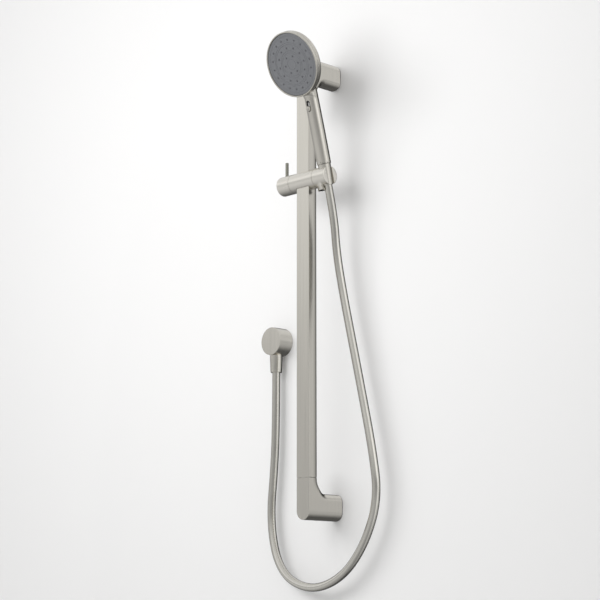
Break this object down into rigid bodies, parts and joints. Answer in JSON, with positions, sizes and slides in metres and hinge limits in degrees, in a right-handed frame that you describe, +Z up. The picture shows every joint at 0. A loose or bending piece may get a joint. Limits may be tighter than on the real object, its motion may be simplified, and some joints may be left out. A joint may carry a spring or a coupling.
{
  "type": "rail shower set with handheld shower head",
  "caption": "Handheld shower head on a flat wall rail, with a sliding tilting holder, lock knob, metal hose and wall outlet elbow.",
  "frame": {"origin": "centre of the lower bracket's wall fixing, on the wall's surface", "axes": "+Z up along the rail, +Y into the wall, +X to the right as seen from the room; the wall is the plane Y = 0"},
  "size_m": [0.287, 0.1929, 0.9411],
  "materials": {
    "brushed_nickel": "satin brushed nickel",
    "slider_nickel": "satin brushed nickel plating",
    "lever_steel": "satin steel pin",
    "hose_nuts": "brass, satin nickel plated",
    "hose_metal": "smooth metallic hose, fine close ribs",
    "handset_nickel": "plastic, brushed nickel plated",
    "spray_grey": "mid grey, matt",
    "nozzle_silicone": "dark grey silicone",
    "slot_black": "black",
    "inner_plastic": "white moulded plastic",
    "brass": "plain brass",
    "screw_steel": "stainless steel",
    "boss_zinc": "cast, plain",
    "rubber": "black rubber"
  },
  "bodies": {
    "wall_set": {"rail_tube": "brushed_nickel", "lower_bracket": "brushed_nickel", "lower_wall_boss": "boss_zinc", "lower_grub_screw": "screw_steel", "lower_rail_insert": "inner_plastic", "lower_wall_gasket": "rubber", "upper_bracket": "brushed_nickel", "upper_wall_boss": "boss_zinc", "upper_grub_screw": "screw_steel", "upper_rail_insert": "inner_plastic", "upper_wall_gasket": "rubber", "elbow_cover": "brushed_nickel", "elbow_fitting": "brass", "check_valve_housing": "inner_plastic", "check_valve_spring": "screw_steel", "hose_nut_lower": "hose_nuts", "hose_ferrule_lower": "brass", "hose_washer_lower": "rubber", "hose": "hose_metal"},
    "slider": {"slider_body": "slider_nickel", "slider_liner": "inner_plastic", "friction_ring": "inner_plastic", "pivot_screw": "screw_steel"},
    "pad": {"clamp_pad": "brass"},
    "knob": {"lock_knob": "slider_nickel", "clamp_screw": "screw_steel", "lever_pin": "lever_steel"},
    "holder": {"handset_holder": "slider_nickel"},
    "hose_end": {"hose_nut_upper": "hose_nuts", "hose_ferrule_upper": "brass", "hose_washer_upper": "rubber"},
    "handset": {"handset_shell": "handset_nickel", "head_trim_ring": "handset_nickel", "spray_face": "spray_grey", "nozzle_mat": "nozzle_silicone", "water_chamber": "inner_plastic", "water_tube": "inner_plastic", "tail_thread": "brass", "flow_restrictor": "inner_plastic", "selector_plate": "slot_black"},
    "selector": {"selector_tab": "handset_nickel", "selector_link": "inner_plastic"},
    "diverter": {"diverter_disc": "inner_plastic"},
    "poppet": {"check_valve_poppet": "inner_plastic"}
  },
  "joints": [
    {"name": "slider_height", "type": "slide", "parent": "wall_set", "child": "slider", "axis": [0, 0, 1], "range_m": [-0.49, 0.13], "deforming": ["hose"]},
    {"name": "knob_turn", "type": "hinge", "parent": "slider", "child": "knob", "pos_m": [0, -0.07, 0.564], "axis": [1, 0, 0], "range_deg": [0, 90]},
    {"name": "pad_travel", "type": "slide", "parent": "slider", "child": "pad", "axis": [-1, 0, 0], "range_m": [0, 0.00035]},
    {"name": "holder_tilt", "type": "hinge", "parent": "slider", "child": "holder", "pos_m": [0, -0.07, 0.564], "axis": [1, 0, 0], "range_deg": [-5, 30], "deforming": ["hose"]},
    {"name": "handset_lift", "type": "slide", "parent": "holder", "child": "hose_end", "axis": [0, -0.2588, 0.9659], "range_m": [0, 0.06], "deforming": ["hose"]},
    {"name": "handset_swivel", "type": "hinge", "parent": "hose_end", "child": "handset", "pos_m": [0.0485, -0.07776, 0.59298], "axis": [0, -0.2588, 0.9659], "range_deg": [-35, 35], "deforming": ["hose"]},
    {"name": "selector_slide", "type": "slide", "parent": "handset", "child": "selector", "axis": [0, -0.2588, 0.9659], "range_m": [0, 0.009]},
    {"name": "diverter_turn", "type": "hinge", "parent": "handset", "child": "diverter", "pos_m": [0.0485, -0.15318, 0.74463], "axis": [0, -0.9003, -0.4352], "range_deg": [0, 44]},
    {"name": "valve_lift", "type": "slide", "parent": "wall_set", "child": "poppet", "axis": [0, 0, -1], "range_m": [0, 0.004], "stiffness_N_per_m": 150, "springref_m": -0.003, "deforming": ["check_valve_spring"]}
  ],
  "couplings": [
    {"joint": "pad_travel", "follows": "knob_turn", "m_per_rad": 0.000199},
    {"joint": "diverter_turn", "follows": "selector_slide", "rad_per_m": 83.333}
  ]
}
